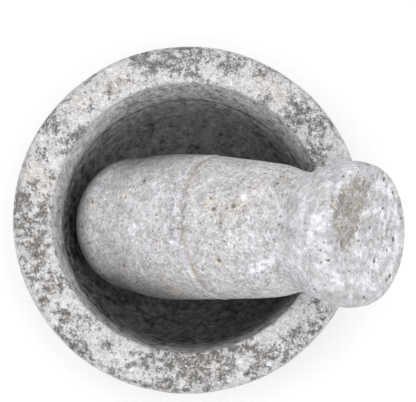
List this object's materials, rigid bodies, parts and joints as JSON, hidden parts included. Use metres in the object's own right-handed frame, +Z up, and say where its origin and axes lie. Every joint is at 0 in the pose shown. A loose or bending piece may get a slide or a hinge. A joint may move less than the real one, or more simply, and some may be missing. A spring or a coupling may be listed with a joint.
{
  "type": "molcajete",
  "caption": "Footed stone mortar with a thick flat rim and a round hollow, with its knobbed stone pestle leaning in it, for grinding by hand.",
  "frame": {"origin": "middle of the base of the whole object's box, on the ground; the bowl's own vertical axis is 7.2 mm to -X of it, because the pestle reaches out to +X", "axes": "+Z up, out of the bowl's mouth; +X towards the pestle's knob; -Y towards the front foot"},
  "size_m": [0.1665, 0.152, 0.1667],
  "materials": {
    "bowl_stone": "rough mottled grey stone, flat light rim, darker turned hollow",
    "pestle_stone": "pale fine-grained grey stone, pecked and ground"
  },
  "bodies": {
    "mortar": {"mortar_bowl": "bowl_stone"},
    "pestle": {"pestle": "pestle_stone"}
  },
  "joints": [
    {"name": "pestle_grind", "type": "hinge", "parent": "mortar", "child": "pestle", "pos_m": [-0.0072, 0, 0.088], "axis": [0, 0, 1], "continuous": true}
  ]
}
